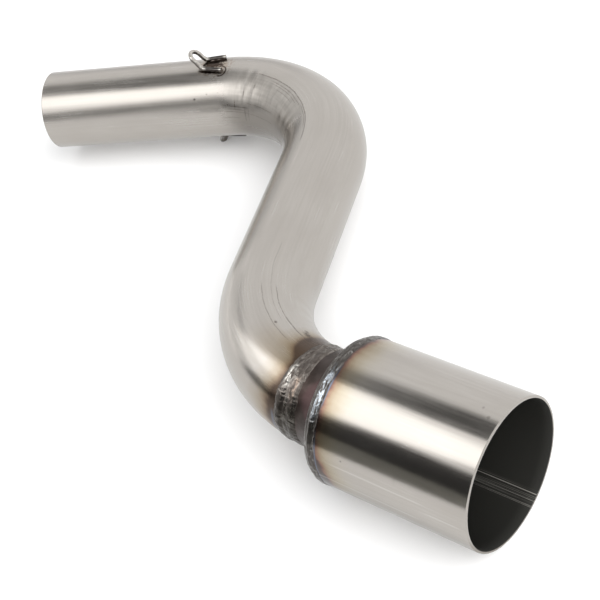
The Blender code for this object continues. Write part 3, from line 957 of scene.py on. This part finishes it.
def tube_material():
    material, tree, shader = new_material("satin tube steel")
    longer = either_side(tree, TUBE_LONGER_SIDES)
    colour, streaks, stains = steel_base(tree, TUBE_TINT, TUBE_TINT_REACH, longer)
    blue = multiply(tree, turned_to(tree, *TUBE_BLUE_SIDE), run_band(tree, *TUBE_BLUE_BAND))
    colour = mix_colour(tree, blue, colour, BLUE_LINE_COLOUR)
    colour = marked_tube(tree, colour)
    # Straw heat tint past the weld, darkened further as a painted reflection
    straw_and_dim_reflection = multiply(tree, run_band(tree, *STRAW_AND_DIM_REFLECTION_BAND), turned_to(tree, *STRAW_AND_DIM_REFLECTION_SIDE))
    colour = mix_colour(tree, straw_and_dim_reflection, colour, STRAW_AND_DIM_REFLECTION_COLOUR, "MULTIPLY")
    # The second bend's inner side: scuffed, and darkened further as painted shade
    scuffed_and_shaded = multiply(tree, turned_to(tree, *SCUFFED_AND_SHADED_SIDE), run_band(tree, *SCUFFED_AND_SHADED_BAND))
    colour = mix_colour(tree, scuffed_and_shaded, colour, SCUFF_AND_PAINTED_SHADE, "MULTIPLY")
    zone = multiply(tree, turned_to(tree, *SANDED_SIDE), run_band(tree, *SANDED_BAND))
    ladder = run_noise(tree, (0.25, 0.25, 1.0), 420.0, roughness=0.6)
    lengthwise = run_noise(tree, (1.0, 1.0, 0.06), 380.0, roughness=0.6)
    sanded = multiply(tree, math_node(tree, "ADD", ladder, lengthwise), 0.5)
    sanding = multiply(tree, zone, map_range(tree, sanded, 0.36, 0.62))
    colour = mix_colour(tree, multiply(tree, sanding, SANDING_STRENGTH), colour, SCRATCH_COLOUR)
    for _, from_bend, _, half_turn in HOOKS:
        haze, burnt = burnt_and_shadowed_by_hook(tree, SECOND_BEND_END + from_bend, math.degrees(half_turn))
        colour = mix_colour(tree, multiply(tree, haze, SCORCH_STRENGTH), colour, SCORCH_COLOUR)
        # Burnt steel and painted shadow round the hook's legs
        colour = mix_colour(tree, burnt, colour, BURNT_AND_PAINTED_SHADOW_COLOUR)
    ring = multiply(tree, ring_mark(tree), RING_STRENGTH)
    plug(tree, mix_colour(tree, ring, colour, BURNT_AND_PAINTED_SHADOW_COLOUR), shader, "Base Color")
    smooth_skin = steel_roughness(tree, streaks, stains, *TUBE_ROUGHNESS)
    rough_skin = multiply(tree, zone, map_range(tree, sanded, 0.35, 0.65, *SANDED_ROUGHNESS))
    plug(tree, math_node(tree, "ADD", smooth_skin, rough_skin), shader, "Roughness")
    scratches = multiply(tree, multiply(tree, sanded, zone), 2.0)
    lines = math_node(tree, "ADD", multiply(tree, streaks, 0.3), scratches)
    add_bump(tree, shader, lines, strength=0.35, distance=0.0001)
    return material


# Marks on the socket: small spots as above, dark and light, and faint light streaks as (angle, start, end)
SOCKET_SPOTS = (
    (0.0684, 72.0, 0.0006, 0.0006, 0.70),
    (0.0385, 68.0, 0.0002, 0.0040, 0.30),
    (0.0110, -4.0, 0.0008, 0.0010, 0.30),
    (0.0060, 2.0, 0.0012, 0.0012, 0.35),
)
SOCKET_GLINTS = (
    (0.0371, 43.0, 0.0005, 0.0005, 0.60),
    (0.0355, 41.0, 0.0003, 0.0004, 0.50),
    (0.0217, 6.0, 0.0003, 0.0010, 0.50),
    (0.0300, 36.0, 0.0003, 0.0003, 0.50),
)
SOCKET_STREAKS = (
    (97.0, 0.028, 0.086),
    (79.0, 0.024, 0.074),
    (86.0, 0.004, 0.022),
)
SOCKET_STREAK_WIDTH = 0.030
SOCKET_STREAK_STRENGTH = 0.22
# Where the socket gets its painted shade: its underside, towards the floor
SOCKET_PAINTED_SHADE_SIDE = (138.0, 1.00, 1.40)


def socket_material():
    material, tree, shader = new_material("satin socket steel")
    longer = turned_to(tree, *SOCKET_LONGER_SIDE)
    colour, streaks, stains = steel_base(tree, SOCKET_TINT, SOCKET_TINT_REACH, longer)
    # Painted shade: the socket darker on its underside, towards the floor
    colour = mix_colour(tree, turned_to(tree, *SOCKET_PAINTED_SHADE_SIDE), colour, UNDERSIDE_PAINTED_SHADE, "MULTIPLY")
    blue = multiply(tree, either_side(tree, SOCKET_BLUE_SIDES), run_band(tree, *SOCKET_BLUE_BAND))
    colour = mix_colour(tree, blue, colour, BLUE_LINE_COLOUR)
    for marks, mark_colour in ((SOCKET_SPOTS, MARK_COLOUR), (SOCKET_GLINTS, GLINT_COLOUR)):
        for distance, degrees, along, around, strength in marks:
            away = spot(tree, distance, degrees, along, around, SOCKET_RADIUS)
            near = map_range(tree, away, 0.4, 1.0, strength, 0.0, smooth=True)
            colour = mix_colour(tree, near, colour, mark_colour)
    for degrees, start, end in SOCKET_STREAKS:
        thin = streak(tree, degrees, SOCKET_STREAK_WIDTH, start, end, 0.0)
        colour = mix_colour(tree, multiply(tree, thin, SOCKET_STREAK_STRENGTH), colour, GLINT_COLOUR)
    plug(tree, colour, shader, "Base Color")
    plug(tree, steel_roughness(tree, streaks, stains, *SOCKET_ROUGHNESS), shader, "Roughness")
    add_bump(tree, shader, streaks, strength=0.35, distance=0.00002)
    return material


# Inside near black as painted shade, with a few light lines, and the pressed reducer with a pink side
INSIDE_PAINTED_SHADE_COLOUR = (0.020, 0.0195, 0.017, 1.0)
INSIDE_LIGHT_COLOUR = (0.22, 0.21, 0.19, 1.0)
INSIDE_LIGHT_SIDE = (-159.0, 1.427, 1.436)
COLLAR_COLOURS = (
    (0.0, (0.036, 0.026, 0.022)),
    (0.5, (0.058, 0.044, 0.039)),
    (1.0, (0.092, 0.071, 0.064)),
)
COLLAR_PINK = (0.115, 0.066, 0.068, 1.0)
COLLAR_PINK_SIDE = (40.0, 0.99, 1.06, 0.6)


def shaded_inside_material():
    material, tree, shader = new_material("inside steel in painted shade")
    lines = run_noise(tree, (1.0, 1.0, 0.003), 2600.0, detail=2.0)
    light = multiply(tree, map_range(tree, lines, 0.53, 0.64), turned_to(tree, *INSIDE_LIGHT_SIDE))
    # Near-black base colour: painted shade inside the bore
    plug(tree, mix_colour(tree, light, INSIDE_PAINTED_SHADE_COLOUR, INSIDE_LIGHT_COLOUR), shader, "Base Color")
    shader.inputs["Metallic"].default_value = 0.3
    shader.inputs["Specular IOR Level"].default_value = 0.25
    shader.inputs["Roughness"].default_value = 0.6
    return material


def collar_material():
    material, tree, shader = new_material("heat tinted reducer")
    blotches = run_noise(tree, (1.0, 1.0, 1.0), 110.0)
    colour = colour_ramp(tree, map_range(tree, blotches, 0.3, 0.7), COLLAR_COLOURS)
    colour = mix_colour(tree, turned_to(tree, *COLLAR_PINK_SIDE), colour, COLLAR_PINK)
    plug(tree, colour, shader, "Base Color")
    grain = run_noise(tree, (1.0, 1.0, 0.3), 900.0)
    plug(tree, map_range(tree, grain, 0.3, 0.7, 0.28, 0.42), shader, "Roughness")
    return material


# Weld metal's colours from dark scale to bare metal, painted highlights on the beads as
# (side, band, colour), and the neck bead's darker lower side
NECK_METAL = ((0.075, 0.062, 0.055), (0.160, 0.140, 0.125), (0.31, 0.285, 0.26))
SHOULDER_METAL = ((0.060, 0.054, 0.050), (0.125, 0.114, 0.105), (0.34, 0.33, 0.32))
TACK_METAL = ((0.014, 0.010, 0.008), (0.036, 0.027, 0.022), (0.20, 0.17, 0.15))
NECK_PAINTED_HIGHLIGHTS = (
    ((24.0, 0.98, 1.03), (0.1120, 0.1148, 0.0007), (0.58, 0.56, 0.52, 1.0)),
    ((36.0, 0.98, 1.03), (0.1078, 0.1100, 0.0007), (0.42, 0.31, 0.24, 1.0)),
)
SHOULDER_PAINTED_HIGHLIGHTS = (
    ((28.0, 1.37, 1.49), (0.0850, 0.0882, 0.0007), (0.56, 0.62, 0.68, 1.0)),
)
NECK_DARKER_SIDE = (92.0, 0.70, 1.0)
NECK_DARKER_TONE = (0.46, 0.47, 0.46, 1.0)


def weld_material(name, colours, gleams=(), darker_side=False):
    """Weld metal with dark scale, brighter bare strokes, and any painted highlights given."""
    material, tree, shader = new_material(name)
    strokes = run_noise(tree, (0.35, 0.35, 1.0), 620.0, detail=4.0, roughness=0.6, distortion=0.8)
    stops = tuple(zip((0.0, 0.55, 1.0), colours))
    colour = colour_ramp(tree, map_range(tree, strokes, 0.30, 0.72), stops)
    for gleam_side, gleam_band, gleam_colour in gleams:
        place = multiply(tree, turned_to(tree, *gleam_side), run_band(tree, *gleam_band))
        # Painted highlights: bright strokes where the bead faces the panels
        painted_highlight = multiply(tree, place, map_range(tree, strokes, 0.44, 0.58))
        colour = mix_colour(tree, painted_highlight, colour, gleam_colour)
    # The neck bead darker on its lower side
    if darker_side:
        colour = mix_colour(tree, turned_to(tree, *NECK_DARKER_SIDE), colour, NECK_DARKER_TONE, "MULTIPLY")
    plug(tree, colour, shader, "Base Color")
    plug(tree, map_range(tree, strokes, 0.35, 0.70, 0.36, 0.20), shader, "Roughness")
    grain = run_noise(tree, (0.5, 0.5, 1.0), 1700.0)
    add_bump(tree, shader, grain, strength=0.4, distance=0.00005)
    return material


# Wires, each as (name, dull and bright colour), with painted shade on all but their upper side, burnt along
# the legs; the lower hook's colours are darker throughout, painted shade under the tube
WIRE_LOOKS = {
    "upper": ("bright drawn wire", (0.42, 0.395, 0.36, 1.0), (0.68, 0.65, 0.61, 1.0)),
    # Painted shade: the lower hook, under the tube, has darker colours than the upper
    "lower": ("drawn wire in painted shade", (0.13, 0.12, 0.11, 1.0), (0.30, 0.28, 0.26, 1.0)),
}
# Painted shade for all but the wire's upper side
WIRE_PAINTED_SHADE_COLOUR = (0.085, 0.072, 0.062, 1.0)
WIRE_BURNT_COLOUR = (0.050, 0.043, 0.040, 1.0)
WIRE_BURNT_BAND = (0.0015 - HOOK_LEG_LENGTH, -0.0015, 0.0012)


def wire_material(name, dull, bright):
    material, tree, shader = new_material(name)
    grain = run_noise(tree, (0.1, 1.0, 1.0), 1500.0)
    colour = mix_colour(tree, map_range(tree, grain, 0.3, 0.7), dull, bright)
    normal = add_node(tree, "NewGeometry").outputs["Normal"]
    facing_up = add_node(tree, "SeparateXYZ", {0: normal}).outputs["Z"]
    # Painted shade on all but the wire's upper side
    painted_shade = map_range(tree, facing_up, 0.10, 0.50, 0.85, 0.0, smooth=True)
    colour = mix_colour(tree, painted_shade, colour, WIRE_PAINTED_SHADE_COLOUR)
    leg = band(tree, run_part(tree, "X"), *WIRE_BURNT_BAND)
    burnt = multiply(tree, leg, map_range(tree, grain, 0.25, 0.60, 0.75, 0.95))
    plug(tree, mix_colour(tree, burnt, colour, WIRE_BURNT_COLOUR), shader, "Base Color")
    plug(tree, map_range(tree, grain, 0.3, 0.7, 0.07, 0.14), shader, "Roughness")
    return material


# Studio
def make_camera():
    camera = bpy.data.cameras.new("photo camera")
    camera.sensor_width = SENSOR_WIDTH
    camera.lens = CAMERA_LENS
    camera.clip_start = CAMERA_NEAR
    camera.clip_end = CAMERA_FAR
    holder = new_object("photo camera", camera)
    azimuth = math.radians(CAMERA_AZIMUTH)
    down = math.radians(CAMERA_TILT_DOWN)
    flat = math.cos(down)
    forward = Vector((-math.sin(azimuth) * flat, math.cos(azimuth) * flat, -math.sin(down)))
    roll = Matrix.Rotation(math.radians(CAMERA_ROLL), 3, "Z").to_quaternion()
    turn = forward.to_track_quat("-Z", "Y") @ roll
    holder.matrix_world = Matrix.Translation(CAMERA_PLACE) @ turn.to_matrix().to_4x4()
    bpy.context.scene.camera = holder


def empty_material(name):
    """A material without nodes yet, and its tree."""
    material = bpy.data.materials.new(name)
    material.use_nodes = True
    material.node_tree.nodes.clear()
    return material, material.node_tree


def floor_material():
    """White paper, lit past white where nothing shades it; the metal shows it softer."""
    material, tree = empty_material("pale floor")
    mirrored = add_node(tree, "LightPath").outputs["Is Glossy Ray"]
    colour = mix_colour(tree, mirrored, FLOOR_COLOUR, MIRRORED_FLOOR_COLOUR)
    matt = add_node(tree, "BsdfDiffuse", {"Color": colour})
    lift = add_node(tree, "Emission", {"Strength": multiply(tree, mirrored, FLOOR_LIFT)})
    both = add_node(tree, "AddShader", {0: matt.outputs[0], 1: lift.outputs[0]})
    add_node(tree, "OutputMaterial", {"Surface": both.outputs[0]})
    return material


def card_material():
    material, tree = empty_material("dark card")
    matt = add_node(tree, "BsdfDiffuse", {"Color": CARD_COLOUR})
    add_node(tree, "OutputMaterial", {"Surface": matt.outputs[0]})
    return material


def flat_sheet(name, corners, material):
    mesh = bpy.data.meshes.new(name)
    mesh.from_pydata(corners, [], [(0, 1, 2, 3)])
    mesh.materials.append(material)
    return new_object(name, mesh)


def make_floor():
    half = FLOOR_SIDE / 2
    corners = [(-half, -half, 0.0), (half, -half, 0.0), (half, half, 0.0), (-half, half, 0.0)]
    floor = flat_sheet("floor", corners, floor_material())


def make_card():
    """A low dark card standing on the floor, which only the metal shows."""
    first, second = CARD_EDGE
    corners = [(*first, 0.0), (*second, 0.0), (*second, CARD_HEIGHT), (*first, CARD_HEIGHT)]
    card = flat_sheet("dark card", corners, card_material())
    card.visible_camera = False
    card.visible_diffuse = False
    card.visible_shadow = False
    card.visible_transmission = False


def make_panel(name, place, back, turn, size, radiance):
    """A soft panel that the metal shows; the floor is lit by the sky."""
    light = bpy.data.lights.new(name, "AREA")
    light.shape = "RECTANGLE"
    light.size, light.size_y = size
    light.energy = radiance * math.pi * light.size * light.size_y
    azimuth, elevation = (math.radians(angle) for angle in back)
    flat = math.cos(elevation)
    backwards = Vector((math.cos(azimuth) * flat, math.sin(azimuth) * flat, math.sin(elevation)))
    level = Vector((-math.sin(azimuth), math.cos(azimuth), 0.0))
    axes = Matrix((level, backwards.cross(level), backwards)).transposed()
    turned = axes @ Matrix.Rotation(math.radians(turn), 3, "Z")
    holder = new_object(name, light)
    holder.matrix_world = Matrix.Translation(place) @ turned.to_4x4()
    holder.visible_camera = False
    holder.visible_diffuse = False


def degrees_window(tree, value, half, feather):
    """Near 1 where an angle in radians is within half degrees of zero, and 0 beyond."""
    size = math_node(tree, "ABSOLUTE", value)
    edges = (math.radians(half - feather), math.radians(half + feather))
    return map_range(tree, size, *edges, 1.0, 0.0, smooth=True)


def gap_level(tree, direction, gap):
    """What one gap in the walls leaves of their light, in a direction."""
    values = {"Vector": direction, "Angle": -math.radians(gap["azimuth"])}
    turned = add_node(tree, "VectorRotate", values, rotation_type="Z_AXIS").outputs[0]
    parts = add_node(tree, "SeparateXYZ", {0: turned}).outputs
    azimuth = math_node(tree, "ARCTAN2", parts["Y"], parts["X"])
    elevation = math_node(tree, "ARCSINE", parts["Z"])
    height = math_node(tree, "SUBTRACT", elevation, math.radians(gap["elevation"]))
    across = math_node(tree, "SUBTRACT", height, multiply(tree, azimuth, gap["tilt"]))
    within = multiply(tree, degrees_window(tree, azimuth, gap["half_width"], gap["feather"]),
                      degrees_window(tree, across, gap["half_height"], gap["feather"]))
    return map_range(tree, within, 0.0, 1.0, 1.0, gap["level"])


def make_world():
    """White walls to the camera, with gaps where metal reflects them, and a soft sky for the floor."""
    world = bpy.data.worlds.new("studio")
    world.use_nodes = True
    bpy.context.scene.world = world
    tree = world.node_tree
    tree.nodes.clear()
    direction = add_node(tree, "TexCoord").outputs["Generated"]
    walls = 1.0
    for gap in DARK_GAPS:
        walls = multiply(tree, gap_level(tree, direction, gap), walls)
    lean = vector_math(tree, "DOT_PRODUCT", direction, SKY_LEAN)["Value"]
    height = add_node(tree, "SeparateXYZ", {0: direction}).outputs["Z"]
    overhead = multiply(tree, math_node(tree, "POWER", height, SKY_NARROWNESS), SKY_OVERHEAD)
    sky = math_node(tree, "ADD", math_node(tree, "MAXIMUM", lean, 0.0), overhead)
    path = add_node(tree, "LightPath").outputs
    lit = add_node(tree, "Mix", {0: path["Is Diffuse Ray"], 2: walls, 3: sky}).outputs[0]
    strength = add_node(tree, "Mix", {0: path["Is Camera Ray"], 2: lit, 3: 1.0}).outputs[0]
    background = add_node(tree, "Background", {"Color": WHITE, "Strength": strength})
    add_node(tree, "OutputWorld", {"Surface": background.outputs[0]})


bpy.context.scene.view_settings.view_transform = "Standard"
make_camera()
make_floor()
make_card()
for number, panel in enumerate(PANELS, 1):
    make_panel(f"panel {number}", **panel)
make_world()
inside = shaded_inside_material()
make_tube([tube_material(), inside])
make_socket([socket_material(), inside])
make_collar([collar_material(), inside])
make_neck_weld(weld_material("neck weld metal", NECK_METAL, NECK_PAINTED_HIGHLIGHTS, darker_side=True))
make_shoulder_weld(weld_material("shoulder weld metal", SHOULDER_METAL, SHOULDER_PAINTED_HIGHLIGHTS))
wires = {label: wire_material(*look) for label, look in WIRE_LOOKS.items()}
make_hooks(wires, weld_material("tack weld metal", TACK_METAL))
